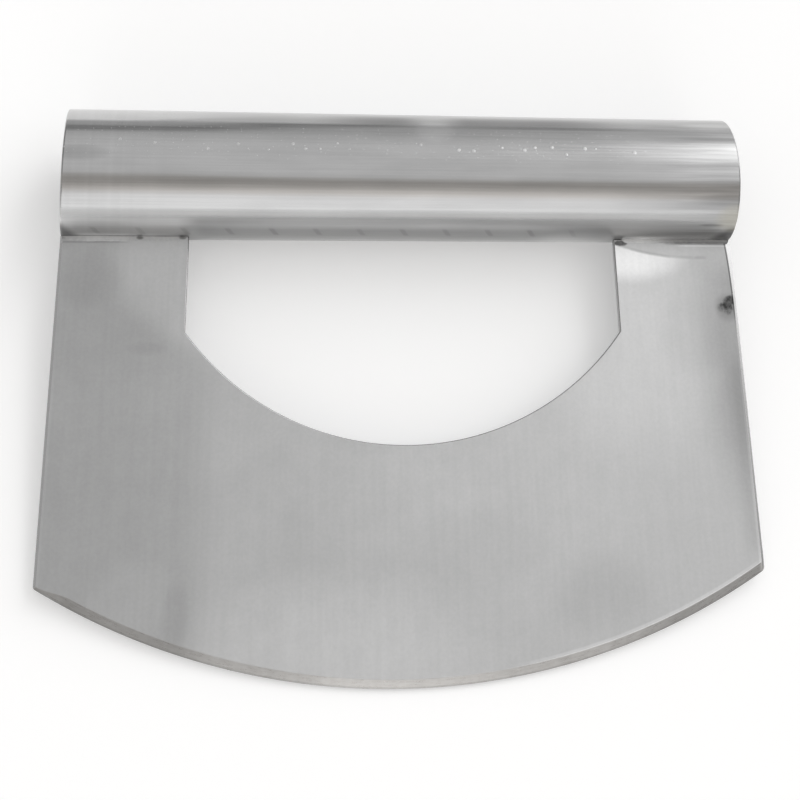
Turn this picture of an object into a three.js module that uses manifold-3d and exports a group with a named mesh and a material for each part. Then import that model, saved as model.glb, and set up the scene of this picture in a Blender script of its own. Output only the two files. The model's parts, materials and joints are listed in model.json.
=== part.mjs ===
// Dough scraper: a straight open length of steel tube, welded along the top of a flat sheet-steel blade.
// Millimetres. The tool is drawn with the axis of the tube on X and the blade hanging down along -Y.
// At the end it is laid on a worktop, where it rests on the tube and on the heel of the ground edge.
import * as THREE from "three";
import { mergeVertices } from "three/addons/utils/BufferGeometryUtils.js";
import Module from "manifold-3d";

// Whole tool
const TOOL_WIDTH = 135; // length of the tube and width of the blade, which end flush

// Tube
const TUBE_DIAMETER = 25.4;
const TUBE_WALL = 1.2;
const TUBE_RIM_ROUND = 0.4; // deburred rims, outside and inside
const TUBE_SIDES = 120;

// Blade
const BLADE_THICKNESS = 1.5;
const BLADE_REACH = 94; // axis of the tube to the lowest point of the edge
const BLADE_EASE = 0.25; // broken sharp edges of the sheet
const CORNER_ROUND = 0.7; // the two lower corners

// Ground edge
const EDGE_RADIUS = 135;
const EDGE_LAND = 0.4; // blunt land left between the two ground faces
const BEVEL_WIDTH = 1.5; // width of the ground strip on each face
const EDGE_SIDES = 360;

// Finger window: straight sides, round bottom, closed at the top by the tube
const WINDOW_WIDTH = 85.6;
const WINDOW_REACH = 52.4; // axis of the tube to the lowest point of the window
const WINDOW_RADIUS = 53.8;

// Fillet welds, one on each face of each arm, dressed close to the sheet
const WELD_ON_BLADE = 1.3; // leg down the face of the blade
const WELD_ON_TUBE = 0.8; // leg out under the tube
const WELD_HOLLOW = 0.2; // how far the face of the bead is dished
const WELD_OUTER_STOP = 0.6; // bare length left at the side of the tool
const WELD_INNER_STOP = 1.8; // bare length left beside the window

// Clearances
const ROOT_GAP = 0.3; // between the tube and the tops of the arms
const BEAD_GAP = 0.1; // between a bead and the two pieces that it joins

// How finely the arcs are divided
const WINDOW_STEPS = 56;
const CORNER_STEPS = 6;
const ROUND_STEPS = 4;
const BEAD_STEPS = 6;
const CUT_PAST = 1; // how far stock and cutters run past each other

const tubeRadius = TUBE_DIAMETER / 2;
const halfWidth = TOOL_WIDTH / 2;
const halfSheet = BLADE_THICKNESS / 2;
const halfWindow = WINDOW_WIDTH / 2;

const wasm = await Module();
wasm.setup();

function solid(geometry) {
  const bare = geometry.clone();
  bare.deleteAttribute("normal");
  bare.deleteAttribute("uv");
  const merged = mergeVertices(bare);
  return new wasm.Manifold(
    new wasm.Mesh({
      numProp: 3,
      vertProperties: new Float32Array(merged.attributes.position.array),
      triVerts: new Uint32Array(merged.index.array),
    }),
  );
}

function geometryOf(manifold) {
  const mesh = manifold.getMesh();
  const geometry = new THREE.BufferGeometry();
  geometry.setAttribute("position", new THREE.BufferAttribute(mesh.vertProperties, 3));
  geometry.setIndex(new THREE.BufferAttribute(mesh.triVerts, 1));
  geometry.computeVertexNormals();
  return geometry;
}

function arc(x, y, radius, from, to, steps) {
  return new THREE.EllipseCurve(x, y, radius, radius, from, to, to < from).getPoints(steps);
}

function mirrored(points) {
  return points.map((p) => new THREE.Vector2(-p.x, p.y)).reverse();
}

// Tube: the wall section, with its four rims rounded, turned about the axis
function tubeGeometry() {
  const outer = tubeRadius - TUBE_RIM_ROUND;
  const inner = tubeRadius - TUBE_WALL + TUBE_RIM_ROUND;
  const end = halfWidth - TUBE_RIM_ROUND;
  const wall = [
    ...arc(outer, -end, TUBE_RIM_ROUND, -Math.PI / 2, 0, ROUND_STEPS),
    ...arc(outer, end, TUBE_RIM_ROUND, 0, Math.PI / 2, ROUND_STEPS),
    ...arc(inner, end, TUBE_RIM_ROUND, Math.PI / 2, Math.PI, ROUND_STEPS),
    ...arc(inner, -end, TUBE_RIM_ROUND, Math.PI, 1.5 * Math.PI, ROUND_STEPS),
  ];
  wall.push(wall[0].clone());
  return new THREE.LatheGeometry(wall, TUBE_SIDES).rotateZ(Math.PI / 2);
}

// Blade: the sheet with its window and corners, trimmed by a disc that carries the ground edge on its rim
function bladeGeometry() {
  const top = -(tubeRadius + ROOT_GAP);
  const edgeY = EDGE_RADIUS - BLADE_REACH;
  const windowY = WINDOW_RADIUS - WINDOW_REACH;

  // right half of the sheet's outline, from the arm's inner top corner round to the edge
  const cornerX = halfWidth - CORNER_ROUND;
  const cornerY = edgeY - Math.sqrt((EDGE_RADIUS - CORNER_ROUND) ** 2 - cornerX ** 2);
  const cornerTurn = Math.atan2(cornerY - edgeY, cornerX);
  const corner = arc(cornerX, cornerY, CORNER_ROUND, 0, cornerTurn, CORNER_STEPS);
  const below = -(BLADE_REACH + CUT_PAST);
  const right = [
    new THREE.Vector2(halfWindow, top),
    new THREE.Vector2(halfWidth, top),
    ...corner,
    new THREE.Vector2(corner.at(-1).x, below),
  ];

  // round bottom of the window, from the left corner to the right one
  const windowTurn = Math.asin(halfWindow / WINDOW_RADIUS);
  const down = 1.5 * Math.PI;
  const bottom = arc(0, windowY, WINDOW_RADIUS, down - windowTurn, down + windowTurn, WINDOW_STEPS);

  const sheet = new THREE.ExtrudeGeometry(
    new THREE.Shape([...right, ...mirrored(right), ...bottom]),
    {
      depth: BLADE_THICKNESS - 2 * BLADE_EASE,
      bevelThickness: BLADE_EASE,
      bevelSize: BLADE_EASE,
      bevelOffset: -BLADE_EASE,
      bevelSegments: 1,
    },
  );
  sheet.translate(0, 0, BLADE_EASE - halfSheet);

  // the disc's rim is the edge: a narrow land between two cones
  const halfLand = EDGE_LAND / 2;
  const coneRun = BEVEL_WIDTH / (halfSheet - halfLand);
  const discHalf = halfSheet + CUT_PAST;
  const discFace = EDGE_RADIUS - coneRun * (discHalf - halfLand);
  const rim = [
    new THREE.Vector2(0, -discHalf),
    new THREE.Vector2(discFace, -discHalf),
    new THREE.Vector2(EDGE_RADIUS, -halfLand),
    new THREE.Vector2(EDGE_RADIUS, halfLand),
    new THREE.Vector2(discFace, discHalf),
    new THREE.Vector2(0, discHalf),
  ];
  const disc = new THREE.LatheGeometry(rim, EDGE_SIDES).rotateX(Math.PI / 2).translate(0, edgeY, 0);

  return geometryOf(solid(sheet).intersect(solid(disc)));
}

// Weld: the section of a bead between the tube and the front of the blade, drawn along the bead
function weldGeometry(length) {
  const under = tubeRadius + BEAD_GAP;
  const onFace = halfSheet + BEAD_GAP;
  const toeOut = halfSheet + WELD_ON_TUBE;
  const toeDown = -(tubeRadius + WELD_ON_BLADE);
  const down = 1.5 * Math.PI;
  const section = new THREE.Shape();
  section.absarc(0, 0, under, down + Math.asin(onFace / under), down + Math.asin(toeOut / under), false);
  const toe = section.currentPoint;
  const midX = (toe.x + onFace) / 2 - WELD_HOLLOW;
  const midY = (toe.y + toeDown) / 2 + WELD_HOLLOW;
  section.quadraticCurveTo(midX, midY, onFace, toeDown);
  section.closePath();
  const bead = new THREE.ExtrudeGeometry(section, {
    depth: length,
    bevelEnabled: false,
    curveSegments: BEAD_STEPS,
  });
  // the section's x becomes the tool's z, and the bead runs along x with its middle at the origin
  return bead.rotateY(-Math.PI / 2).translate(length / 2, 0, 0);
}

const tubeSteel = new THREE.MeshStandardMaterial({ color: 0xa7a7a6, roughness: 0.3, metalness: 1 });
const bladeSteel = new THREE.MeshStandardMaterial({ color: 0xb0b0ae, roughness: 0.42, metalness: 1 });
const weldSteel = new THREE.MeshStandardMaterial({ color: 0xb0afac, roughness: 0.4, metalness: 1 });

const tool = new THREE.Group();

function add(name, geometry, material) {
  const mesh = new THREE.Mesh(geometry, material.clone());
  mesh.name = name;
  tool.add(mesh);
  return mesh;
}

add("handle_tube", tubeGeometry(), tubeSteel);
add("blade", bladeGeometry(), bladeSteel);

const beadInner = halfWindow + WELD_INNER_STOP;
const beadOuter = halfWidth - WELD_OUTER_STOP;
for (const [face, turn] of [["front", 0], ["back", Math.PI]]) {
  for (const [side, sign] of [["left", -1], ["right", 1]]) {
    const weld = add("weld_" + face + "_" + side, weldGeometry(beadOuter - beadInner), weldSteel);
    weld.position.x = (sign * (beadInner + beadOuter)) / 2;
    weld.rotation.y = turn;
  }
}

// Laid on a worktop, centred: the tube and the heel of the lower ground face touch it
const heelReach = BLADE_REACH - BEVEL_WIDTH;
const heelLean = Math.atan(halfSheet / heelReach);
const restTurn = Math.asin(tubeRadius / Math.hypot(heelReach, halfSheet)) - heelLean;
const tipY = -BLADE_REACH * Math.cos(restTurn) - (EDGE_LAND / 2) * Math.sin(restTurn);
tool.rotation.x = restTurn;
tool.position.set(0, -(tubeRadius + tipY) / 2, tubeRadius);

const scraper = new THREE.Group();
scraper.add(tool);
export default scraper;
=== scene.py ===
import json
import math

import bmesh
import bpy
from mathutils import Matrix, Vector


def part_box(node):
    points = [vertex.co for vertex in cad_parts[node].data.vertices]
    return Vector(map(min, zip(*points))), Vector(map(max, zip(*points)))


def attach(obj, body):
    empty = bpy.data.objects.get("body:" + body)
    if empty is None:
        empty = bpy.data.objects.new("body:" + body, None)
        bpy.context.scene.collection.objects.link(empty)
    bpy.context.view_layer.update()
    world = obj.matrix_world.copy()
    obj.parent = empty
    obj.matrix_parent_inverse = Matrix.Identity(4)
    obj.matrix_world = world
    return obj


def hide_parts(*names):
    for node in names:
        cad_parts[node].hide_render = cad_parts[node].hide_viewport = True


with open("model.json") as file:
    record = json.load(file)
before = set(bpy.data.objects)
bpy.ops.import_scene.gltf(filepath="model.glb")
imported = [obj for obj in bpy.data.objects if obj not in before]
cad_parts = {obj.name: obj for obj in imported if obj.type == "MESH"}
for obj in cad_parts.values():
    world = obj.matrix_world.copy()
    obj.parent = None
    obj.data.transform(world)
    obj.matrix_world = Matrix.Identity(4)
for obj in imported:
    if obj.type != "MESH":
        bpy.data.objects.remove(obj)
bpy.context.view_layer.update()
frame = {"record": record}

MM = 0.001

# Sizes are millimetres in the frame of the tool: tube along X, blade hanging along -Y, front on +Z

# Tube
TUBE_WALL = 1.2
TUBE_RIM_ROUND = 0.4

# Blade
BLADE_THICKNESS = 1.5
BLADE_REACH = 94.0  # axis of the tube to the lowest point of the edge
BLADE_EASE = 0.25  # broken sharp edges of the sheet
LEFT_CORNER_ROUND = 0.6
RIGHT_CORNER_ROUND = 1.0
ARM_SINK = 0.05  # how far the arms stand into the wall of the tube

# Ground edge
EDGE_RADIUS = 135.0
EDGE_LAND = 0.4
BEVEL_WIDTH = 1.5
HEEL_ROUND = 0.12
TOE_INSETS = (0.08, 0.02)  # two rings that round the ground face off towards the land
TOE_DROP = 0.06
RUN_OUT = 6.0  # length in which the grinding fades out at the left corner

# Finger window
WINDOW_WIDTH = 85.6
WINDOW_REACH = 52.4  # axis of the tube to the lowest point of the window
WINDOW_RADIUS = 53.8

# Outer sides, their front edges broken with a file, which cut wider below the right weld
SIDE_BREAK = 0.55
SIDE_FLARE = 0.8
FLARE_FALL = 6.0

# Welds, dressed nearly flat
WELD_ON_TUBE = 0.3
WELD_ON_BLADE_LEFT = 1.4
WELD_ON_BLADE_RIGHT = 1.15
WELD_SINK = 0.05
WELD_OUTER_STOP = 0.3
WELD_LEFT_INNER_STOP = 0.3
WELD_RIGHT_INNER_STOP = 1.7
WELD_RIPPLE = 1.1

# Depths on a weld, as shares of its legs
WELD_HOLLOW = 0.12
WELD_RIPPLE_DEPTH = 0.025
WELD_END_BLUNT = 0.02  # square of the share of its section that a bead ends with

# How finely the pieces are divided
TUBE_SIDES = 288
RIM_STEPS = 5
SIDE_STEPS = 48
CORNER_STEPS = 10
EDGE_STEPS = 180
WINDOW_STEPS = 120
EASE_STEPS = 4
BEAD_ARC_POINTS = 13
POINTS_PER_RIPPLE = 8.0
SHARP_DEGREES = 36.0  # a sharper fold than this is not smoothed

# Camera: its place in the frame of the tool, and the lie of its picture plane in degrees
CAMERA_AT = (-41.7, -103.0, 330.9)
PICTURE_PITCH = -27.44
PICTURE_YAW = 10.26
PICTURE_ROLL = 2.40
FOCAL_PX = 1677.7
AXIS_PX = (478.9, -129.2)  # pixel that the picture plane faces squarely
FRAME_PX = 800
SENSOR_MM = 36.0
NEAREST_M = 0.01

# Colours of the steel, the straw tint that heat leaves on it, and how strongly that shows
TUBE_GREY = 0.385
BORE_GREY = 0.36
SPATTER_GREY = 0.5
BLADE_GREY = 0.435
# the heel's grey is a painted highlight
HEEL_HIGHLIGHT_GREY = 0.6
FILED_GREY = 0.58
PUNCHED_GREY = 0.38
WELD_GREY = 0.44
STRAW = (0.42, 0.40, 0.33, 1.0)
TUBE_STRAW = 0.5
WELD_STRAW = 0.12

# Roughness of each finish, from its smoothest spots to its roughest, and what is added to it
TUBE_ROUGHNESS = (0.12, 0.18)
BORE_ROUGHNESS = 0.55
BLADE_ROUGHNESS = (0.40, 0.45)
GROUND_ROUGHNESS = (0.26, 0.36)
FILED_ROUGHNESS = 0.24
WELD_ROUGHNESS = (0.30, 0.42)
CLOUD_ROUGHER = 0.04
UNDERSIDE_ROUGHER = 0.2
TUBE_DIRT_ROUGHER = 0.3
BLADE_DIRT_ROUGHER = 0.25

# Share of bare metal in the scale of the bore
BORE_BARE = 0.4

# Smudges and painted highlights on the tube: place in mm along and degrees round it, reach in both, gain
# in tone
TUBE_SMUDGES_AND_HIGHLIGHTS = (
    ((5.0, -30.0), (5.0, 16.0), 0.18),  # painted highlight above the middle
    ((65.0, -44.0), (10.0, 8.0), 0.3),  # painted highlight on the top at the right end
    ((66.0, 34.0), (10.0, 7.0), -0.2),  # dull patch at the right end
    ((57.0, 84.0), (14.0, 9.0), 0.6),  # lighter by the right arm, a painted reflection
    ((-64.5, -1.5), (7.0, 9.0), -0.18),  # dull patch at the left end
    ((39.0, 88.0), (15.0, 22.0), 0.42),  # lighter by the right end of the window, a painted reflection
)

# Spatter on the tube: a row of specks, placed in mm round it from its front, and dust about them
SPECK_ROW = -2.1
SPECK_PITCH = 3.3
SPECK_RADIUS = 0.52
SPECK_SPREAD = 2.6
DUST_PITCH = 1.5
DUST_RADIUS = 0.11
DUST_STRENGTH = 0.4

# Dirt and painted shade on the tube: slanted ticks along the underside, and how much each kind darkens it
TICK_START = 4.0
TICK_PITCH = 8.6
TICK_SLANT = 0.5
TICK_DIRT = 0.3
WEDGE_SHADE = 0.55
DASH_DIRT = 0.3

# Smudges on the front of the blade: place, reach across and down, gain in tone
BLADE_SMUDGES = (
    ((-42.4, -81.5), (3.0, 8.0), -0.1),  # narrow mark low on the left
    ((-61.5, -21.0), (8.0, 7.0), -0.12),  # under the left weld
    ((-50.0, -34.3), (4.5, 1.6), -0.07),  # short stroke on the left arm
    ((-50.0, -79.0), (10.0, 9.0), 0.09),  # rubbed spot low on the left
    ((36.0, -80.0), (12.0, 9.0), -0.06),  # dull spot low on the right
    ((-14.0, -91.0), (38.0, 19.0), 0.16),  # bright stretch along the edge
    ((44.0, -34.0), (20.0, 28.0), 0.14),  # bright field beside the window
    ((16.0, -60.0), (34.0, 26.0), 0.06),  # bright field below the window
    ((12.0, -71.0), (16.0, 9.0), -0.06),  # dull spot within it
    ((-58.0, -32.0), (16.0, 14.0), -0.05),  # dull left arm
    ((58.0, -31.0), (9.0, 11.0), -0.09),  # dull spot by the burn
)

# Tone of the film on the left of the blade
FILM_TONE = 0.86

# Line that dressing the right weld has scored on the blade: its lowest point, and its bow
SCORE_LOW = (59.0, -16.4)
SCORE_BOW = 0.0107

# Dirt and painted shade on the blade and the welds: how much each kind darkens it
BURN_DIRT = 0.84
HAZE_DIRT = 0.22
PIT_SHADE = 0.66
LEFT_FOOT_SHADE = 0.14
RIGHT_FOOT_SHADE = 0.26
SPECK_DIRT = 0.65
RIGHT_BEAD_SHADE = (0.55, 0.68)  # at its top and at its foot

# Half the width of the soft border between the marked front and the plain back
FACE_SOFT = 0.2

# Light levels, where 1 is white
CEILING = 1.02
CEILING_BACK = 0.7344
CEILING_BACK_RIGHT = 1.122
FRONT_SHADE = 0.56
BACK_GAP = 0.32
FRONT_WINDOW = 1.68
SIDE_LAMP = 3.1
LAMP_GLOW = 1.5
RIGHT_WALL = 1.8
RIGHT_SHADE = 0.42
LEFT_WALL = 0.5  # share of the ceiling's light

# Warmth of the shaded front, as gains in red and in blue
WARM_RED = 0.045
WARM_BLUE = -0.05

# Floor
FLOOR_GREY = 0.8
FLOOR_LIFT = 0.28  # light added for what looks at it
FLOOR_DROP = 0.05  # how far below the tool it lies
FLOOR_REACH_M = 2.5

# The tool's frame in the row's frame: the middle of the tube, turned as the blade leans
TUBE_LOW, TUBE_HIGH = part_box("handle_tube")
FACE_AXIS = next(m["axis"] for m in frame["record"]["mounts"] if m["name"] == "blade_front")
LEAN = math.atan2(-FACE_AXIS[1], FACE_AXIS[2])
TOOL = Matrix.Translation((TUBE_LOW + TUBE_HIGH) / 2) @ Matrix.Rotation(LEAN, 4, "X")

TUBE_RADIUS = (TUBE_HIGH.z - TUBE_LOW.z) / 2 / MM
TOOL_WIDTH = (TUBE_HIGH.x - TUBE_LOW.x) / MM
HALF_WIDTH = TOOL_WIDTH / 2
HALF_WINDOW = WINDOW_WIDTH / 2
HALF_SHEET = BLADE_THICKNESS / 2
ARM_TOP = -(TUBE_RADIUS - ARM_SINK)
EDGE_Y = EDGE_RADIUS - BLADE_REACH  # centre of the edge's arc


class Board:
    """Lays nodes on a tree. A value that is a socket is linked, and any other is set on the input."""

    def __init__(self, tree):
        self.tree = tree

    def feed(self, socket, value):
        if isinstance(value, bpy.types.NodeSocket):
            self.tree.links.new(value, socket)
        else:
            socket.default_value = value

    def add(self, kind, inputs=None, **settings):
        node = self.tree.nodes.new(kind)
        for key, value in settings.items():
            setattr(node, key, value)
        for key, value in (inputs or {}).items():
            self.feed(node.inputs[key], value)
        return node

    def math(self, operation, *values):
        return self.add("ShaderNodeMath", dict(enumerate(values)), operation=operation).outputs[0]

    def chain(self, operation, values):
        """Joins several values by one operation, two at a time."""
        result, *others = values
        for value in others:
            result = self.math(operation, result, value)
        return result

    def times(self, *values):
        return self.chain("MULTIPLY", values)

    def most(self, *values):
        return self.chain("MAXIMUM", values)

    def rest(self, share):
        """What a share leaves of 1."""
        return self.math("SUBTRACT", 1.0, share)

    def length(self, a, b):
        """Length of a line that goes a one way and b square to it."""
        return self.math("SQRT", self.math("ADD", self.times(a, a), self.times(b, b)))

    def ramp(self, value, low, high, start=0.0, end=1.0):
        """A soft step from start to end as the value goes from low to high."""
        inputs = {0: value, 1: low, 2: high, 3: start, 4: end}
        return self.add("ShaderNodeMapRange", inputs, interpolation_type="SMOOTHSTEP").outputs[0]

    def between(self, value, low, high, soft):
        """1 from low to high, falling to 0 over a soft border on each side."""
        return self.times(self.ramp(value, low - soft, low), self.ramp(value, high, high + soft, 1.0, 0.0))

    def field(self, x, y, along, across):
        """1 inside a field, given as (low, high, soft) along x and across it in y, and 0 outside."""
        return self.times(self.between(x, *along), self.between(y, *across))

    def spot(self, x, y, at, reach):
        """1 at a place on a surface, falling softly to 0 at its reach in x and in y."""
        across = self.math("DIVIDE", self.math("SUBTRACT", x, at[0]), reach[0])
        down = self.math("DIVIDE", self.math("SUBTRACT", y, at[1]), reach[1])
        square = self.math("ADD", self.times(across, across), self.times(down, down))
        return self.ramp(square, 0.0, 1.0, 1.0, 0.0)

    def swing(self, noise, low, high, spread=0.2):
        """Follows a noise from low to high, over the spread on each side of its middle."""
        return self.ramp(noise, 0.5 - spread, 0.5 + spread, low, high)

    def shade(self, grey, mask, gain):
        """The grey with the gain added to its tone, as a share of it, where the mask is 1."""
        return self.times(grey, self.math("MULTIPLY_ADD", mask, gain, 1.0))

    def spotted(self, grey, x, y, smudges):
        """Lays soft spots on the grey, each given as a place, a reach and a gain."""
        for at, reach, gain in smudges:
            grey = self.shade(grey, self.spot(x, y, at, reach), gain)
        return grey

    def mix(self, factor, a, b):
        return self.add("ShaderNodeMix", {0: factor, 2: a, 3: b}).outputs[0]

    def tint(self, factor, a, b):
        return self.add("ShaderNodeMix", {0: factor, 6: a, 7: b}, data_type="RGBA").outputs[2]

    def vector(self, x, y, z=0.0):
        return self.add("ShaderNodeCombineXYZ", {0: x, 1: y, 2: z}).outputs[0]

    def split(self, vector):
        return self.add("ShaderNodeSeparateXYZ", {0: vector}).outputs

    def noise(self, vector, scale=1.0, detail=2.0, roughness=0.5):
        inputs = {"Vector": vector, "Scale": scale, "Detail": detail, "Roughness": roughness}
        return self.add("ShaderNodeTexNoise", inputs).outputs[0]

    def drawn(self, x, y, along, across, detail=2.0, roughness=0.5):
        """Noise stretched over a surface: so many waves to the millimetre along x and across it in y."""
        where = self.vector(self.times(x, along), self.times(y, across))
        return self.noise(where, 1.0, detail, roughness)

    def dots(self, x, y, pitch, radius):
        """Round dots, about one to a cell of the given pitch. A tenth of them are nothing, three tenths
        have the full radius, and the rest lie between."""
        where = self.vector(self.math("DIVIDE", x, pitch), self.math("DIVIDE", y, pitch))
        inputs = {"Vector": where, "Scale": 1.0}
        cells = self.add("ShaderNodeTexVoronoi", inputs, voronoi_dimensions="2D").outputs
        chance = self.split(cells["Color"])[0]
        size = self.times(self.ramp(chance, 0.1, 0.7), radius / pitch)
        off = self.math("SUBTRACT", cells["Distance"], size)
        return self.ramp(off, 0.0, -0.5 * radius / pitch)

    def speck_row(self, x, y, pitch, radius, spread):
        """Soft specks in a row along x, strayed off it by up to half the spread. A tenth of them are
        the smallest, two tenths have the full radius, and the rest lie between."""
        inputs = {"W": self.math("DIVIDE", x, pitch), "Scale": 1.0}
        cells = self.add("ShaderNodeTexVoronoi", inputs, voronoi_dimensions="1D").outputs
        chance, stray, _ = self.split(cells["Color"])
        along = self.times(cells["Distance"], pitch)
        off = self.math("MULTIPLY_ADD", self.math("SUBTRACT", stray, 0.5), -spread, y)
        size = self.ramp(chance, 0.1, 0.8, 0.15 * radius, radius)
        return self.ramp(self.math("DIVIDE", self.length(along, off), size), 1.0, 0.0)

    def tool_mm(self):
        """Object coordinates turned into the frame of the tool, in millimetres."""
        coords = self.add("ShaderNodeTexCoord").outputs["Object"]
        place = Matrix.Rotation(-LEAN, 3, "X") @ TOOL.translation
        inputs = {0: coords, "Location": -place / MM, "Rotation": (-LEAN, 0, 0), "Scale": (1 / MM,) * 3}
        return self.add("ShaderNodeMapping", inputs).outputs[0]

    def attribute(self, name):
        return self.add("ShaderNodeAttribute", attribute_name=name).outputs["Fac"]

    def bump(self, height, depth_mm, under=None):
        inputs = {"Height": height, "Strength": 1.0, "Distance": depth_mm * MM}
        if under is not None:
            inputs["Normal"] = under
        return self.add("ShaderNodeBump", inputs).outputs[0]


def steel(name, finish):
    """A metal whose colour, roughness, relief and share of bare metal are laid by the finish."""
    material = bpy.data.materials.new(name)
    material.use_nodes = True
    board = Board(material.node_tree)
    skin = material.node_tree.nodes["Principled BSDF"]
    colour, roughness, normal, metallic = finish(board)
    board.feed(skin.inputs["Base Color"], colour)
    board.feed(skin.inputs["Roughness"], roughness)
    board.feed(skin.inputs["Normal"], normal)
    board.feed(skin.inputs["Metallic"], metallic)
    return material


def tube_reflections_and_smudges(board, grey, x, degrees):
    """Lays on the tube's grey painted reflections, lighter and darker bands round it, and smudges."""
    from_middle = board.math("ABSOLUTE", x)

    # painted highlight on a band in front; below it painted light by the left arm, faint painted shade
    # elsewhere
    painted_bright_band = board.between(degrees, 50.0, 64.0, soft=8.0)
    grey = board.shade(grey, painted_bright_band, gain=0.25)
    below_band = board.between(degrees, 62.0, 77.0, soft=10.0)
    grey = board.shade(grey, below_band, gain=board.ramp(x, -40.0, -46.0, -0.08, 0.4))

    # painted highlight: the top is brighter, and more of it on the left
    left = board.ramp(x, -26.0, -58.0)
    bright_from = board.mix(left, -44.0, -35.0)
    bright_to = board.mix(left, -54.0, -40.0)
    bright = board.mix(left, 1.25, 1.45)
    grey = board.times(grey, board.ramp(degrees, bright_from, bright_to, 1.0, bright))

    # painted dark streak along the top, broken near the middle, then smudges and painted highlights
    painted_dark_streak = board.field(x, degrees, along=(-4.0, 30.0, 18.0), across=(-50.0, -41.0, 9.0))
    painted_streak_break = board.between(x, 4.5, 5.5, soft=7.0)
    painted_dark_streak = board.shade(painted_dark_streak, painted_streak_break, gain=-0.95)
    grey = board.shade(grey, painted_dark_streak, gain=-0.36)
    grey = board.spotted(grey, x, degrees, TUBE_SMUDGES_AND_HIGHLIGHTS)

    # painted reflections on the underside: bright along the arms, over the window dull in front, bright
    # behind
    over_arm = board.ramp(from_middle, 44.0, 50.0)
    over_window = board.ramp(from_middle, HALF_WINDOW + 1.0, HALF_WINDOW - 4.0)
    arm_reflection = board.times(board.between(degrees, 86.0, 100.0, soft=9.0), over_arm)
    grey = board.shade(grey, arm_reflection, gain=0.4)
    painted_dull_band = board.times(board.between(degrees, 74.0, 82.0, soft=7.0), over_window)
    grey = board.shade(grey, painted_dull_band, gain=-0.14)
    painted_bright_behind = board.times(board.between(degrees, 95.0, 115.0, soft=6.0), over_window)
    return board.shade(grey, painted_bright_behind, gain=0.3)


def tube_spatter(board, x, degrees, round_mm):
    """Round specks in one row, and dust about them; the right end is clean."""
    from_row = board.math("SUBTRACT", round_mm, SPECK_ROW)
    specks = board.speck_row(x, from_row, SPECK_PITCH, SPECK_RADIUS, SPECK_SPREAD)
    dusty = board.between(degrees, -30.0, 2.0, soft=4.0)
    dust = board.times(board.dots(x, round_mm, DUST_PITCH, DUST_RADIUS), dusty, DUST_STRENGTH)
    clean_end = board.ramp(x, 42.0, 50.0)
    return board.times(board.most(specks, dust), board.rest(clean_end))


def tube_dirt_and_shade(board, x, degrees, round_mm, cloud):
    """Painted shade in a wedge by each end's weld, short ticks along the underside, one dash on the right.
    """
    # painted shade in a wedge where each end of the tube meets the weld
    wedge_from = board.ramp(degrees, 60.0, 88.0, HALF_WIDTH + 0.1, HALF_WIDTH - 3.1)
    wedge_from = board.math("SUBTRACT", wedge_from, board.ramp(x, 0.0, 10.0, 0.0, 1.3))
    past = board.math("SUBTRACT", board.math("ABSOLUTE", x), wedge_from)
    by_weld = board.between(degrees, 68.0, 96.0, soft=8.0)
    wedge = board.times(board.ramp(past, -1.4, 1.2), by_weld, WEDGE_SHADE)
    slanted = board.math("SUBTRACT", x, board.times(round_mm, TICK_SLANT))
    ticks_along = board.math("DIVIDE", board.math("SUBTRACT", slanted, TICK_START), TICK_PITCH)
    phase = board.math("FRACT", ticks_along)
    ticks = board.field(phase, degrees, along=(0.46, 0.52, 0.06), across=(72.0, 79.0, 4.0))
    ticks = board.times(ticks, cloud, board.ramp(x, 32.0, 42.0, TICK_DIRT, 0.0))
    dash = board.times(board.spot(x, degrees, (62.2, 61.0), (3.2, 2.6)), DASH_DIRT)
    return board.most(wedge, ticks, dash)


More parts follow.
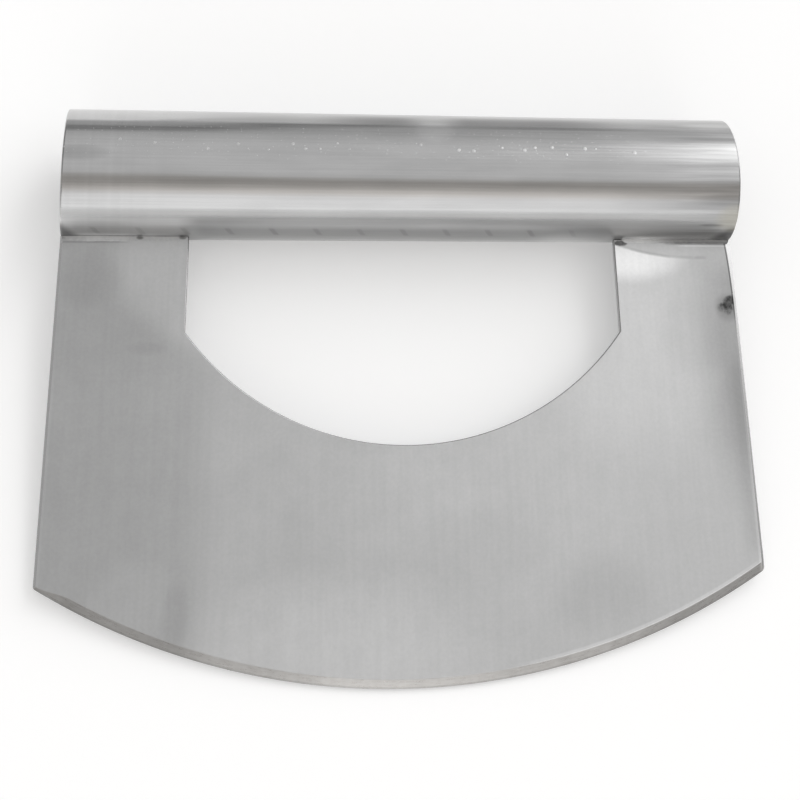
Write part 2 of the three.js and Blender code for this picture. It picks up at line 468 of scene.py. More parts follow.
def tube_finish(board):
    """Drawn tube, polished lengthwise: fine lines and slow waves, a row of spatter specks near the top,
    a dull underside, painted reflections in bands round it, painted shade where both ends meet the
    welds, and dull scale inside the bore."""
    x, y, z = board.split(board.tool_mm())
    turn = board.math("ARCTAN2", board.math("MULTIPLY", y, -1.0), z)
    round_mm = board.times(turn, TUBE_RADIUS)
    degrees = board.math("DEGREES", turn)
    left_end = board.ramp(x, -40.0, -60.0)
    right_end = board.ramp(x, 46.0, 62.0)
    under = board.between(degrees, 62.0, 112.0, soft=12.0)

    lines = board.drawn(x, round_mm, along=0.02, across=2.4, detail=3.0, roughness=0.6)
    waves = board.drawn(x, round_mm, along=0.025, across=0.09, detail=1.0)
    cloud = board.drawn(x, round_mm, along=0.06, across=0.2, detail=3.0)
    scores = board.drawn(x, round_mm, along=0.03, across=0.85)
    rings = board.noise(board.vector(board.times(x, 0.45), 0.0))

    grey = board.swing(cloud, TUBE_GREY * 0.96, TUBE_GREY * 1.04)
    grey = board.times(grey, board.swing(lines, 0.96, 1.04, spread=0.25))
    grey = board.times(grey, board.mix(right_end, 1.0, board.swing(scores, 0.84, 1.08, spread=0.15)))
    grey = board.times(grey, board.mix(left_end, 1.0, board.swing(rings, 0.97, 1.03)))
    grey = tube_reflections_and_smudges(board, grey, x, degrees)
    spatter = tube_spatter(board, x, degrees, round_mm)
    grey = board.mix(spatter, grey, SPATTER_GREY)
    # dirt, and painted shade by the welds at both ends
    dirt_and_shade = tube_dirt_and_shade(board, x, degrees, round_mm, cloud)
    grey = board.times(grey, board.rest(dirt_and_shade))

    # the bore was never polished
    from_axis = board.length(y, z)
    bore = board.ramp(from_axis, TUBE_RADIUS - 0.4 * TUBE_WALL, TUBE_RADIUS - 0.8 * TUBE_WALL)
    outside = board.rest(bore)
    grey = board.mix(bore, grey, board.swing(cloud, BORE_GREY * 0.9, BORE_GREY * 1.1))

    straw = board.times(board.spot(x, degrees, (67.0, 54.0), (5.0, 20.0)), outside, TUBE_STRAW)
    colour = board.tint(straw, grey, STRAW)
    roughness = board.swing(lines, *TUBE_ROUGHNESS, spread=0.3)
    roughness = board.math("MULTIPLY_ADD", cloud, CLOUD_ROUGHER, roughness)
    roughness = board.math("MULTIPLY_ADD", under, UNDERSIDE_ROUGHER, roughness)
    roughness = board.math("MULTIPLY_ADD", board.most(dirt_and_shade, spatter), TUBE_DIRT_ROUGHER, roughness)
    roughness = board.mix(bore, roughness, BORE_ROUGHNESS)
    scored = board.math("MULTIPLY_ADD", board.times(scores, right_end), 2.0, lines)
    normal = board.bump(waves, depth_mm=0.05)
    normal = board.bump(scored, depth_mm=0.002, under=normal)
    normal = board.bump(board.times(spatter, outside), depth_mm=0.02, under=normal)
    return colour, roughness, normal, board.mix(bore, 1.0, BORE_BARE)


def blade_tone_and_painted_shade(board, x, y, mottle):
    """Tone of the sheet: a film on the left with a wavering border, smudges, painted shade down the right.
    """
    border = board.math("ADD", board.ramp(y, -40.0, -22.0, -39.5, -57.0), board.times(mottle, 3.0))
    wear_and_painted_light = board.ramp(board.math("SUBTRACT", x, border), -5.0, 4.0, FILM_TONE, 1.0)
    wear_and_painted_light = board.spotted(wear_and_painted_light, x, y, BLADE_SMUDGES)
    # painted shade down the right side, and more of it in a narrow band by the edge
    right_shade = board.times(board.ramp(x, 56.0, HALF_WIDTH), board.ramp(y, -76.0, -44.0))
    right_shade = board.times(right_shade, board.ramp(y, -14.0, -22.0, 0.35, 1.0))
    wear_and_painted_light = board.shade(wear_and_painted_light, right_shade, gain=-0.32)
    side_shade = board.times(board.ramp(x, 62.5, 66.0), board.between(y, -70.0, -40.0, soft=6.0))
    return board.shade(wear_and_painted_light, side_shade, gain=-0.11)


def weld_dressing_and_highlights(board, wear_and_painted_light, x, y, mottle):
    """Right weld's dressing: a scored line, and a patch and foot brightened as painted highlights."""
    from_low = board.math("SUBTRACT", x, SCORE_LOW[0])
    score_y = board.math("MULTIPLY_ADD", board.times(from_low, from_low), SCORE_BOW, SCORE_LOW[1])
    off_score = board.math("SUBTRACT", y, score_y)
    below_score = board.ramp(off_score, 0.1, -0.5)
    # the dressed patch below the score is brightened as a painted highlight
    dressed_patch_highlight = board.times(board.spot(x, y, (46.0, -15.5), (14.0, 6.8)), below_score)
    wear_and_painted_light = board.shade(wear_and_painted_light, dressed_patch_highlight, gain=0.5)
    score = board.ramp(board.math("ABSOLUTE", off_score), 0.1, 0.5, 1.0, 0.0)
    faint = board.ramp(mottle, 0.35, 0.6, 0.3, 1.0)
    score = board.times(score, board.between(x, 46.0, 61.0, soft=2.0), faint)
    wear_and_painted_light = board.shade(wear_and_painted_light, score, gain=-0.15)
    # a painted highlight along the foot of the right weld
    foot = board.field(x, y, along=(58.0, 65.5, 3.0), across=(-14.05, -13.9, 0.15))
    return board.shade(wear_and_painted_light, foot, gain=0.25)


def blade_dirt_and_shade(board, at, x, y):
    """The burn and its haze; painted shade where the right weld stops short and along each weld's foot."""
    ragged = board.math("MULTIPLY_ADD", board.noise(at, scale=0.9, detail=3.0, roughness=0.6), 1.7, 0.15)
    burn_top = board.spot(x, y, (66.8, -25.0), (2.6, 1.5))
    burn_stem = board.spot(x, y, (65.5, -26.3), (1.7, 2.6))
    burn_side = board.times(board.spot(x, y, (64.5, -26.5), (2.1, 1.7)), 0.75)
    burn = board.times(board.most(burn_top, burn_stem, burn_side), ragged)
    burn = board.times(board.ramp(burn, 0.1, 1.35), BURN_DIRT)
    haze = board.times(board.spot(x, y, (65.4, -26.6), (3.0, 3.4)), HAZE_DIRT)
    # painted shade in the gap where the right weld stops short
    pit_shade = board.times(board.spot(x, y, (44.2, -13.5), (1.9, 0.85)), ragged)
    pit_shade = board.times(board.ramp(pit_shade, 0.15, 0.95), PIT_SHADE)
    # painted shade along the foot of each weld
    left_foot_shade = board.field(x, y, along=(-67.0, -57.0, 4.0), across=(-13.95, -13.75, 0.18))
    left_foot_shade = board.times(left_foot_shade, LEFT_FOOT_SHADE)
    right_foot_shade = board.field(x, y, along=(56.0, 66.0, 4.0), across=(-13.65, -13.45, 0.18))
    right_foot_shade = board.times(right_foot_shade, RIGHT_FOOT_SHADE)
    return board.most(burn, haze, pit_shade, left_foot_shade, right_foot_shade)


def ground_tone(board, grey, x, out, ground, strokes, front):
    """Ground edge: its strokes, a dark land, a painted sheen on a stretch, painted highlights at the heel.
    """
    grey = board.times(grey, board.mix(ground, 1.0, board.swing(strokes, 0.95, 1.03)))
    grey = board.times(grey, board.ramp(out, EDGE_RADIUS - 0.4, EDGE_RADIUS - 0.1, 1.0, 0.8))
    # a painted sheen on a stretch of the ground face
    painted_sheen = board.times(ground, board.between(x, -10.0, 38.0, soft=15.0), front)
    grey = board.shade(grey, painted_sheen, gain=0.28)
    # a painted highlight on the heel
    # halfway between sheet and ground face this is 1
    heel_highlight = board.times(ground, board.rest(ground), 4.0)
    grey = board.mix(board.times(heel_highlight, board.ramp(x, 5.0, 35.0, 0.2, 0.8)), grey, HEEL_HIGHLIGHT_GREY)
    # a painted highlight just above the heel
    heel_line = EDGE_RADIUS - BEVEL_WIDTH
    above_heel_highlight = board.between(out, heel_line - 0.4, heel_line - 0.1, soft=0.3)
    above_heel_highlight = board.times(above_heel_highlight, board.between(x, 28.0, 60.0, soft=12.0), front)
    return board.shade(grey, above_heel_highlight, gain=0.16)


def filed_tone(board, grey, x, y, from_side, eased, front):
    """The outer sides are filed to clean metal; under the right weld a dark crease bounds the chamfer."""
    grey = board.mix(eased, grey, board.ramp(from_side, 10.0, 5.0, PUNCHED_GREY, FILED_GREY))
    fall = board.math("EXPONENT", board.math("DIVIDE", board.math("SUBTRACT", y, ARM_TOP), FLARE_FALL))
    chamfer = board.math("MULTIPLY_ADD", fall, SIDE_FLARE, SIDE_BREAK)
    crease = board.between(board.math("SUBTRACT", from_side, chamfer), -0.1, 0.12, soft=0.12)
    under_weld = board.times(board.ramp(x, 60.0, 64.0), board.ramp(y, -32.0, -25.0), front)
    return board.shade(grey, board.times(crease, under_weld), gain=-0.6)


def blade_finish(board):
    """Matt sheet with a dull film on its left, smudges, painted shade on the right, one burn by the right
    edge, and a dressed patch under the right weld brightened as a painted highlight; the edge is ground
    in strokes, with a painted sheen and a painted highlight on its heel, and the broken edges are bright."""
    at = board.tool_mm()
    x, y, z = board.split(at)
    ground = board.attribute("ground")
    eased = board.attribute("eased")
    front = board.ramp(z, -FACE_SOFT, FACE_SOFT)
    from_side = board.math("SUBTRACT", HALF_WIDTH, board.math("ABSOLUTE", x))

    grain = board.noise(at, scale=1.5, detail=3.0, roughness=0.6)
    mottle = board.noise(at, scale=0.3, roughness=0.55)
    cloud = board.noise(at, scale=0.06)
    rolled = board.drawn(x, y, along=1.0, across=0.04)
    tone = board.swing(grain, 0.975, 1.025, spread=0.25)
    tone = board.times(tone, board.swing(mottle, 0.975, 1.025))
    tone = board.times(tone, board.swing(rolled, 0.985, 1.015))
    tone = board.times(tone, board.swing(cloud, 0.98, 1.02))

    wear_and_painted_light = blade_tone_and_painted_shade(board, x, y, mottle)
    wear_and_painted_light = weld_dressing_and_highlights(board, wear_and_painted_light, x, y, mottle)
    # the burn and its haze, and painted shade by the welds
    dirt_and_shade = blade_dirt_and_shade(board, at, x, y)
    wear_and_painted_light = board.times(wear_and_painted_light, board.rest(dirt_and_shade))
    # the file has also brushed the face along both sides
    brushed = board.times(board.between(from_side, 0.5, 0.8, soft=0.25), board.ramp(y, -28.0, -44.0))
    wear_and_painted_light = board.shade(wear_and_painted_light, brushed, gain=board.ramp(x, -60.0, 60.0, 0.06, 0.16))
    # the back of the sheet has only the grain and the clouds
    wear_and_painted_light = board.mix(front, 1.0, wear_and_painted_light)
    grey = board.times(tone, wear_and_painted_light, BLADE_GREY)

    # ground strokes follow the edge round
    down = board.math("SUBTRACT", EDGE_Y, y)
    sweep = board.times(board.math("ARCTAN2", x, down), EDGE_RADIUS)
    out = board.length(x, down)
    strokes = board.drawn(sweep, out, along=0.4, across=4.0, detail=3.0, roughness=0.6)
    grey = ground_tone(board, grey, x, out, ground, strokes, front)
    grey = filed_tone(board, grey, x, y, from_side, eased, front)

    roughness = board.swing(mottle, *BLADE_ROUGHNESS)
    roughness = board.mix(ground, roughness, board.swing(strokes, *GROUND_ROUGHNESS))
    roughness = board.mix(eased, roughness, FILED_ROUGHNESS)
    roughness = board.math("MULTIPLY_ADD", board.times(dirt_and_shade, front), BLADE_DIRT_ROUGHER, roughness)
    relief = board.mix(ground, grain, board.times(strokes, 0.3))
    return grey, roughness, board.bump(relief, depth_mm=0.003), 1.0


def weld_finish(board):
    """Fillet dressed with a wheel: streaks along it, dirt and painted shade in front, a faint straw tint.
    """
    at = board.tool_mm()
    x, y, z = board.split(at)
    front = board.ramp(z, -FACE_SOFT, FACE_SOFT)
    grain = board.noise(at, scale=1.7, detail=4.0, roughness=0.6)
    streaks = board.noise(board.vector(board.times(x, 0.15), board.times(y, 4.0), board.times(z, 4.0)))
    grey = board.swing(streaks, WELD_GREY * 0.92, WELD_GREY * 1.08)
    grey = board.times(grey, board.swing(grain, 0.94, 1.06))

    # the left bead is duller, but for a stretch near its outer end
    dulled = board.mix(board.between(x, -62.0, -56.0, soft=2.0), 0.82, 0.94)
    grey = board.times(grey, board.mix(board.ramp(x, 0.0, -10.0), 1.0, dulled))

    # two specks of dirt on the left bead, and painted shade over the outer half of the right one
    left_speck = board.spot(x, y, (-52.3, -13.0), (0.9, 0.45))
    inner_speck = board.spot(x, y, (-44.0, -12.9), (1.0, 0.5))
    specks = board.times(board.most(left_speck, inner_speck), SPECK_DIRT)
    foot = board.ramp(y, -12.95, -13.3, *RIGHT_BEAD_SHADE)
    dirt_and_shade = board.most(specks, board.times(board.ramp(x, 48.0, 58.0), foot))
    grey = board.times(grey, board.rest(board.times(dirt_and_shade, front)))

    colour = board.tint(board.ramp(grain, 0.4, 0.8, 0.0, WELD_STRAW), grey, STRAW)
    roughness = board.swing(streaks, *WELD_ROUGHNESS)
    return colour, roughness, board.bump(grain, depth_mm=0.01), 1.0


def shape_tree(name, sizes):
    """An empty Geometry Nodes tree with named number inputs: the tree, its board and its input sockets."""
    tree = bpy.data.node_groups.new(name, "GeometryNodeTree")
    tree.is_modifier = True
    for size in sizes:
        tree.interface.new_socket(size, in_out="INPUT", socket_type="NodeSocketFloat")
    tree.interface.new_socket("Material", in_out="INPUT", socket_type="NodeSocketMaterial")
    tree.interface.new_socket("Geometry", in_out="OUTPUT", socket_type="NodeSocketGeometry")
    board = Board(tree)
    return tree, board, board.add("NodeGroupInput").outputs


def close_tree(board, mesh, material):
    """Ends a tree: smooth faces, real geometry, one material."""
    smooth = board.add("GeometryNodeSetShadeSmooth", {0: mesh}).outputs[0]
    real = board.add("GeometryNodeRealizeInstances", {0: smooth}).outputs[0]
    done = board.add("GeometryNodeSetMaterial", {0: real, "Material": material}).outputs[0]
    board.add("NodeGroupOutput", {0: done})


def grown(tree, sizes, material):
    """The plain mesh that a tree makes with the given sizes."""
    thing = bpy.data.objects.new(tree.name, bpy.data.meshes.new(tree.name))
    bpy.context.scene.collection.objects.link(thing)
    modifier = thing.modifiers.new("shape", "NODES")
    modifier.node_group = tree
    for item in tree.interface.items_tree:
        if item.in_out == "INPUT":
            modifier[item.identifier] = material if item.name == "Material" else sizes[item.name]
    graph = bpy.context.evaluated_depsgraph_get()
    mesh = bpy.data.meshes.new_from_object(thing.evaluated_get(graph))
    bpy.data.objects.remove(thing)
    return mesh


def tube_tree():
    """The rounded section of the wall, carried round the tube's axis."""
    tree, board, size = shape_tree("tube_wall", ["Length", "Radius", "Wall", "Rim Round", "Sides"])
    middle = board.math("SUBTRACT", size["Radius"], board.times(size["Wall"], 0.5))
    inputs = {"Resolution": size["Sides"], "Radius": middle}
    path = board.add("GeometryNodeCurvePrimitiveCircle", inputs).outputs["Curve"]
    inputs = {"Width": size["Wall"], "Height": size["Length"]}
    section = board.add("GeometryNodeCurvePrimitiveQuadrilateral", inputs).outputs[0]
    inputs = {"Curve": section, "Count": RIM_STEPS, "Radius": size["Rim Round"]}
    rounded = board.add("GeometryNodeFilletCurve", inputs, mode="POLY").outputs[0]
    inputs = {"Curve": path, "Profile Curve": rounded}
    wall = board.add("GeometryNodeCurveToMesh", inputs).outputs[0]
    inputs = {"Geometry": wall, "Rotation": (0, math.pi / 2, 0)}
    laid = board.add("GeometryNodeTransform", inputs).outputs[0]
    close_tree(board, laid, size["Material"])
    return tree


def weld_tree():
    """A hollow fillet along X, dressed smooth: faint ripples are left, and both ends close round."""
    names = ["Length", "On Tube", "On Blade", "Hollow", "Ripple", "Ripple Depth"]
    tree, board, size = shape_tree("weld_bead", names)
    half = board.times(size["Length"], 0.5)
    ends = {"Start": board.vector(board.times(half, -1.0), 0.0), "End": board.vector(half, 0.0)}
    line = board.add("GeometryNodeCurvePrimitiveLine", ends).outputs[0]
    steps = board.times(board.math("DIVIDE", size["Length"], size["Ripple"]), POINTS_PER_RIPPLE)
    fine = board.add("GeometryNodeResampleCurve", {"Curve": line, "Count": steps}).outputs[0]
    upright = board.add("GeometryNodeSetCurveNormal", {"Curve": fine}, mode="Z_UP").outputs[0]
    along = board.add("GeometryNodeSplineParameter").outputs["Length"]

    # a ripple is one arch of a sine, and its neighbour starts at a crease
    phase = board.times(board.math("DIVIDE", along, size["Ripple"]), math.pi)
    arch = board.math("ABSOLUTE", board.math("SINE", phase))
    uneven = board.noise(board.vector(board.times(along, 0.3), 0.0))
    swell = board.math("MULTIPLY_ADD", arch, size["Ripple Depth"], board.swing(uneven, 0.88, 1.0))
    # the end of a bead is round: a quarter circle one leg long
    from_end = board.math("MINIMUM", along, board.math("SUBTRACT", size["Length"], along))
    short = board.rest(board.math("MINIMUM", board.math("DIVIDE", from_end, size["On Blade"]), 1.0))
    closing = board.math("SUBTRACT", 1.0 + WELD_END_BLUNT, board.times(short, short))
    scale = board.times(swell, board.math("SQRT", closing))

    # the section is a quarter round pressed to a flat chamfer, then hollowed
    inputs = {
        "Resolution": BEAD_ARC_POINTS,
        "Radius": 1.0,
        "Sweep Angle": math.pi / 2,
        "Connect Center": True,
    }
    quarter = board.add("GeometryNodeCurveArc", inputs).outputs["Curve"]
    x, y, _ = board.split(board.add("GeometryNodeInputPosition").outputs[0])
    total = board.math("ADD", x, y)
    bow = board.math("DIVIDE", board.times(x, y), board.times(total, total))
    dish = board.times(bow, size["Hollow"], 4.0)
    press = board.math("DIVIDE", board.rest(dish), total)
    pressed = board.vector(board.times(x, press, size["On Tube"]), board.times(y, press, size["On Blade"]))
    inputs = {"Geometry": quarter, "Position": pressed}
    section = board.add("GeometryNodeSetPosition", inputs).outputs[0]
    inputs = {"Curve": upright, "Profile Curve": section, "Scale": scale, "Fill Caps": True}
    bead = board.add("GeometryNodeCurveToMesh", inputs).outputs[0]
    close_tree(board, bead, size["Material"])
    return tree


def piece(name, mesh, material, node):
    """Puts a finished mesh, drawn in the tool's frame, in place of its CAD node."""
    thing = bpy.data.objects.new(name, mesh)
    bpy.context.scene.collection.objects.link(thing)
    mesh.transform(TOOL @ Matrix.Scale(MM, 4))
    if not mesh.materials:
        mesh.materials.append(material)
    weighted = thing.modifiers.new("flat faces stay flat", "WEIGHTED_NORMAL")
    weighted.keep_sharp = True
    graph = bpy.context.evaluated_depsgraph_get()
    plain = bpy.data.meshes.new_from_object(thing.evaluated_get(graph))
    thing.modifiers.clear()
    thing.data = plain
    plain.name = name
    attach(thing, "root")
    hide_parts(node)


def arc_points(centre, radius, start, end, steps):
    """Points of an arc, both ends included. Angles are in radians from +X."""
    turns = [start + (end - start) * i / steps for i in range(steps + 1)]
    return [(centre[0] + radius * math.cos(t), centre[1] + radius * math.sin(t)) for t in turns]


def broken(y, right):
    """Width of the filed chamfer on the front of an outer side at this height."""
    flare = SIDE_FLARE * math.exp((y - ARM_TOP) / FLARE_FALL) if right else 0.0
    return SIDE_BREAK + flare


def ground_share(x):
    """How much of the full bevel the edge carries here: it runs out at the left corner."""
    along = min(1.0, max(0.0, (x + HALF_WIDTH) / RUN_OUT))
    return along * along * (3.0 - 2.0 * along)


def blade_ring(step, front):
    """One ring of points round the sheet: step 0 bounds the flat face, and the last bounds the wall.
    Each point is (x, y, z, share of the ground edge)."""
    share = step / EASE_STEPS
    turn = share * math.pi / 2
    inset = BLADE_EASE * (1.0 - math.sin(turn))
    side_z = HALF_SHEET - BLADE_EASE * (1.0 - math.cos(turn))
    # the ground face runs from its heel to the land
    insets = (BEVEL_WIDTH + HEEL_ROUND, BEVEL_WIDTH - HEEL_ROUND, *TOE_INSETS, 0.0)
    edge_in = insets[step]
    land = EDGE_LAND / 2
    fall = (HALF_SHEET - land) / BEVEL_WIDTH
    edge_z = min(HALF_SHEET, land + fall * edge_in)
    if step == EASE_STEPS:
        edge_z -= TOE_DROP

    top = ARM_TOP - inset
    window_x = HALF_WINDOW + inset
    window_y = WINDOW_RADIUS - WINDOW_REACH
    window_r = WINDOW_RADIUS + inset
    window_turn = math.asin(window_x / window_r)

    def chamfer(width):
        """How far in and how high this ring lies on an outer side: filed flat in front, eased behind."""
        if front:
            return width * (1.0 - share), HALF_SHEET - fall * width * share
        return inset, side_z

    break_in, break_z = chamfer(SIDE_BREAK)

    def corner(round_, below):
        """The corner on the right, above an edge that lies so far in: its points from the edge up to
        the side, and where the edge's arc ends."""
        radius = round_ - break_in
        x = HALF_WIDTH - round_
        y = EDGE_Y - math.sqrt((EDGE_RADIUS - below - radius) ** 2 - x**2)
        turn = math.atan2(y - EDGE_Y, x)
        return arc_points((x, y), radius, turn, 0.0, CORNER_STEPS), turn

    def side(low, right):
        """Points down the right side, from the top to just above the corner."""
        points = []
        for i in range(SIDE_STEPS):
            y = top + (low - top) * i / SIDE_STEPS
            side_in, z = chamfer(broken(y, right))
            points.append((HALF_WIDTH - side_in, y, z))
        return points

    def mitred(x, y, part):
        """Height where the bevel and the side's chamfer meet in front: the lower of the two planes."""
        if not front:
            return break_z + (edge_z - break_z) * part
        past_heel = math.hypot(x, y - EDGE_Y) - (EDGE_RADIUS - BEVEL_WIDTH)
        past_crease = x - (HALF_WIDTH - SIDE_BREAK)
        return HALF_SHEET - fall * max(0.0, past_heel, past_crease)

    left, left_turn = corner(LEFT_CORNER_ROUND, break_in)
    right, right_turn = corner(RIGHT_CORNER_ROUND, edge_in)
    ring = [(-x, y, z, 0.0) for x, y, z in side(left[-1][1], False)]
    for i, (x, y) in enumerate(reversed(left)):
        ring.append((-x, y, break_z, i / CORNER_STEPS))
    start = -math.pi - left_turn
    for i in range(1, EDGE_STEPS):
        turn = start + (right_turn - start) * i / EDGE_STEPS
        part = ground_share(EDGE_RADIUS * math.cos(turn))
        radius = EDGE_RADIUS - (break_in + (edge_in - break_in) * part)
        z = break_z + (edge_z - break_z) * part
        ring.append((radius * math.cos(turn), EDGE_Y + radius * math.sin(turn), z, 1.0))
    for i, (x, y) in enumerate(right):
        part = 1.0 - i / CORNER_STEPS
        ring.append((x, y, mitred(x, y, part), part))
    ring += [(x, y, z, 0.0) for x, y, z in reversed(side(right[-1][1], True))]
    ring.append((window_x, top, side_z, 0.0))
    down = -math.pi / 2
    bottom = arc_points((0.0, window_y), window_r, down + window_turn, down - window_turn, WINDOW_STEPS)
    ring += [(x, y, side_z, 0.0) for x, y in bottom]
    ring.append((-window_x, top, side_z, 0.0))
    return ring


def blade_mesh():
    """The sheet: two flat faces, joined round their rims by eased edges, walls and the ground edge."""
    mesh = bmesh.new()
    ground = mesh.verts.layers.float.new("ground")
    eased = mesh.verts.layers.float.new("eased")
    steps = range(EASE_STEPS + 1)
    rings = []
    for side, step in [(1, s) for s in steps] + [(-1, s) for s in reversed(steps)]:
        ring = []
        for x, y, z, share in blade_ring(step, side > 0):
            vertex = mesh.verts.new((x, y, z * side))
            vertex[ground] = share if step else 0.0
            vertex[eased] = 1.0 - share if step else 0.0
            ring.append(vertex)
        rings.append(ring)
    mesh.faces.new(rings[0])
    mesh.faces.new(reversed(rings[-1]))
    for upper, lower in zip(rings, rings[1:]):
        for i in range(len(upper)):
            j = i - 1
            mesh.faces.new((upper[j], lower[j], lower[i], upper[i]))
    for face in mesh.faces:
        face.smooth = True
    made = bpy.data.meshes.new("blade_sheet")
    mesh.to_mesh(made)
    mesh.free()
    made.set_sharp_from_angle(angle=math.radians(SHARP_DEGREES))
    return made


def build_tool():
    """The tube, the blade and the four beads, each in place of its CAD node."""
    tube_steel = steel("tube_steel", tube_finish)
    blade_steel = steel("blade_steel", blade_finish)
    weld_steel = steel("weld_steel", weld_finish)

    sizes = {
        "Length": TOOL_WIDTH,
        "Radius": TUBE_RADIUS,
        "Wall": TUBE_WALL,
        "Rim Round": TUBE_RIM_ROUND,
        "Sides": TUBE_SIDES,
    }
    piece("drawn_tube", grown(tube_tree(), sizes, tube_steel), tube_steel, "handle_tube")
    piece("blade_sheet", blade_mesh(), blade_steel, "blade")

    tree = weld_tree()
    root = (0.0, WELD_SINK - TUBE_RADIUS, HALF_SHEET - WELD_SINK)
    outer = HALF_WIDTH - WELD_OUTER_STOP
    arms = (
        ("left", -1, WELD_LEFT_INNER_STOP, WELD_ON_BLADE_LEFT),
        ("right", 1, WELD_RIGHT_INNER_STOP, WELD_ON_BLADE_RIGHT),
    )
    for side, sign, stop, on_blade in arms:
        inner = HALF_WINDOW + stop
        sizes = {
            "Length": outer - inner,
            "On Tube": WELD_ON_TUBE,
            "On Blade": on_blade,
            "Hollow": WELD_HOLLOW,
            "Ripple": WELD_RIPPLE,
            "Ripple Depth": WELD_RIPPLE_DEPTH,
        }
        for face, turn in (("front", 0.0), ("back", math.pi)):
            bead = grown(tree, sizes, weld_steel)
            bead.transform(Matrix.Rotation(-math.pi / 2, 4, "X"))
            bead.transform(Matrix.Translation(root))
            bead.transform(Matrix.Rotation(turn, 4, "Y"))
            bead.transform(Matrix.Translation((sign * (inner + outer) / 2, 0.0, 0.0)))
            piece(f"bead_{face}_{side}", bead, weld_steel, f"weld_{face}_{side}")


def studio_level(board, x, y, front, ahead):
    """Light that comes from each direction. x and y are parts of the direction, front and ahead are
    degrees from straight above the blade towards its edge."""
    # the ceiling is duller at the back, but not on the right, and the left wall is duller still
    back = board.ramp(x, 0.22, 0.32, CEILING_BACK, CEILING_BACK_RIGHT)
    level = board.ramp(front, -80.0, -34.0, back, CEILING)
    level = board.times(level, board.ramp(x, -0.4, -0.1, LEFT_WALL, 1.0))

    # the dark gap behind is higher on the left, broken once, and nearly closed on the right
    behind = board.math("SUBTRACT", front, board.ramp(x, -0.03, 0.1, 14.5, -5.5))
    wide = board.math("ADD", behind, board.ramp(x, -0.02, 0.05, 0.0, 7.0))
    gap = board.times(board.ramp(wide, -96.0, -91.0), board.ramp(behind, -84.0, -79.0, 1.0, 0.0))
    gap = board.times(gap, board.ramp(x, 0.238, 0.262, 1.0, 0.1))
    gap = board.times(gap, board.rest(board.between(x, 0.13, 0.155, soft=0.03)))
    level = board.mix(gap, level, BACK_GAP)

    # the shaded front, and the window in it
    level = board.mix(board.ramp(ahead, 16.0, 25.0), level, FRONT_SHADE)
    window = board.times(board.ramp(front, 27.5, 59.5), board.ramp(front, 70.0, 112.0, 1.0, 0.0))
    window = board.times(window, board.ramp(x, board.ramp(front, 45.0, 70.0, -0.3, -0.9), -0.1))
    window = board.times(window, board.ramp(x, 0.24, 0.36, 1.0, 0.0))
    level = board.mix(window, level, FRONT_WINDOW)

    # on the right, the lamp with a glow before it, and the wall, which is shaded towards the front
    glow = board.field(x, front, along=(0.31, 0.6, 0.05), across=(-20.0, 10.0, 8.0))
    level = board.mix(glow, level, LAMP_GLOW)
    right_wall = board.ramp(y, 0.2, 0.225, RIGHT_SHADE, RIGHT_WALL)
    level = board.mix(board.ramp(x, 0.6, 0.8), level, right_wall)
    lamp = board.field(x, front, along=(0.315, 0.5, 0.042), across=(-56.0, -24.0, 6.0))
    return board.mix(lamp, level, SIDE_LAMP)


def studio_world():
    """Soft light all round: a pale ceiling, a shaded front with a window in it, a lamp on the right,
    a dark gap behind, and a white sweep round the horizon."""
    world = bpy.data.worlds.new("studio")
    bpy.context.scene.world = world
    world.use_nodes = True
    board = Board(world.node_tree)
    background = world.node_tree.nodes["Background"]
    coords = board.add("ShaderNodeTexCoord").outputs["Generated"]
    height = board.split(coords)[2]
    turned = board.add("ShaderNodeMapping", {0: coords, "Rotation": (-LEAN, 0, 0)}).outputs[0]
    x, y, z = board.split(turned)
    front = board.math("DEGREES", board.math("ARCTAN2", board.math("MULTIPLY", y, -1.0), z))
    ahead = board.math("ADD", front, board.ramp(x, -0.08, 0.08, 5.5, 0.0))
    level = studio_level(board, x, y, front, ahead)

    # the camera sees white, and so does the steel near the horizon
    rays = board.add("ShaderNodeLightPath").outputs
    steel_sees = board.most(rays["Is Glossy Ray"], rays["Is Transmission Ray"])
    sweep = board.times(steel_sees, board.ramp(height, 0.03, 0.08, 1.0, 0.0))
    seen = board.most(rays["Is Camera Ray"], sweep)
    level = board.mix(seen, level, 1.0)

    # the shaded front is faintly warm
    warm = board.times(board.between(ahead, 26.0, 46.0, soft=10.0), board.rest(seen))
    red = board.shade(level, warm, WARM_RED)
    blue = board.shade(level, warm, WARM_BLUE)
    colour = board.add("ShaderNodeCombineColor", {0: red, 1: level, 2: blue}).outputs[0]
    board.feed(background.inputs["Color"], colour)


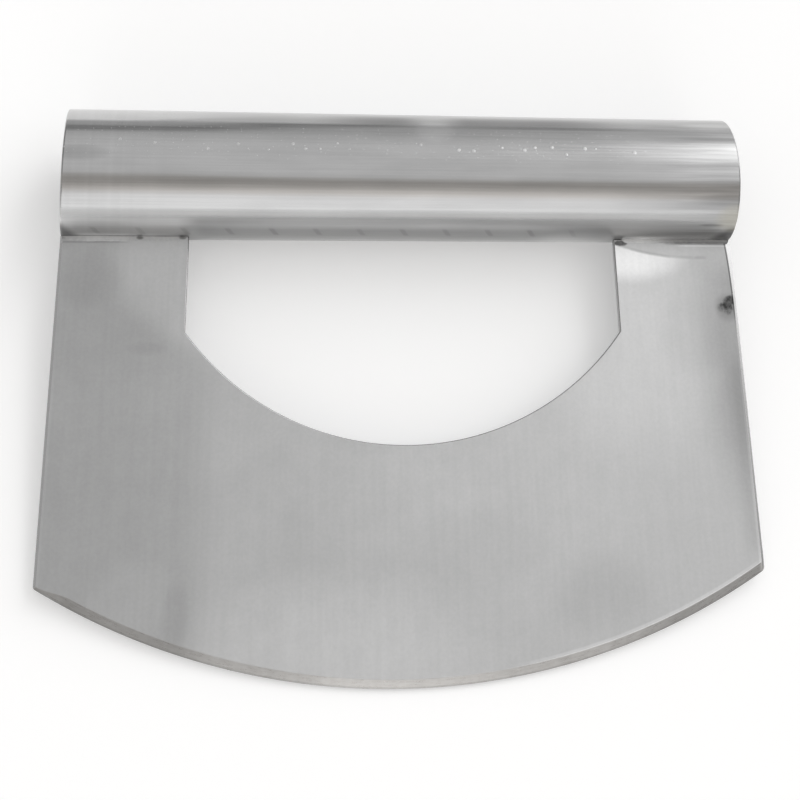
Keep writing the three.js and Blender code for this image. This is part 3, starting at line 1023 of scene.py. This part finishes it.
def studio_floor():
    """A plain white floor that keeps the shadow; what looks at it straight or in steel sees it lifted."""
    reach = FLOOR_REACH_M
    mesh = bpy.data.meshes.new("floor")
    corners = [(-reach, -reach), (reach, -reach), (reach, reach), (-reach, reach)]
    mesh.from_pydata([(x, y, -FLOOR_DROP * MM) for x, y in corners], [], [(0, 1, 2, 3)])
    floor = bpy.data.objects.new("floor", mesh)
    bpy.context.scene.collection.objects.link(floor)
    material = bpy.data.materials.new("floor_white")
    material.use_nodes = True
    board = Board(material.node_tree)
    skin = material.node_tree.nodes["Principled BSDF"]
    skin.inputs["Base Color"].default_value = (FLOOR_GREY, FLOOR_GREY, FLOOR_GREY, 1.0)
    skin.inputs["Roughness"].default_value = 1.0
    skin.inputs["Specular IOR Level"].default_value = 0.0
    skin.inputs["Emission Color"].default_value = (1.0, 1.0, 1.0, 1.0)
    rays = board.add("ShaderNodeLightPath").outputs
    seen = board.most(rays["Is Camera Ray"], rays["Is Glossy Ray"], rays["Is Transmission Ray"])
    board.feed(skin.inputs["Emission Strength"], board.times(seen, FLOOR_LIFT))
    mesh.materials.append(material)


def photo_camera():
    """The photograph is an off-centre crop of a wider picture, so its picture plane leans against the
    line of sight. The mount carries that lean, as the back of a view camera does."""
    turn = (
        Matrix.Rotation(math.radians(-PICTURE_YAW), 3, "Y")
        @ Matrix.Rotation(math.radians(-PICTURE_PITCH), 3, "X")
        @ Matrix.Rotation(math.radians(-PICTURE_ROLL), 3, "Z")
    )
    right, up, back = turn.col
    half = FRAME_PX / 2
    sight = right * (half - AXIS_PX[0]) + up * (AXIS_PX[1] - half) - back * FOCAL_PX
    lean = Matrix((right, up, -sight.normalized())).transposed().to_4x4()
    lean.translation = Vector(CAMERA_AT) * MM
    mount = bpy.data.objects.new("camera_mount", None)
    camera = bpy.data.objects.new("camera", bpy.data.cameras.new("camera"))
    for thing in (mount, camera):
        bpy.context.scene.collection.objects.link(thing)
    camera.parent = mount
    camera.matrix_parent_inverse = TOOL @ lean
    camera.data.sensor_width = SENSOR_MM
    camera.data.lens = sight.length * SENSOR_MM / FRAME_PX
    camera.data.clip_start = NEAREST_M
    bpy.context.scene.camera = camera


photo_camera()
studio_world()
studio_floor()
build_tool()
bpy.context.scene.view_settings.view_transform = "Standard"
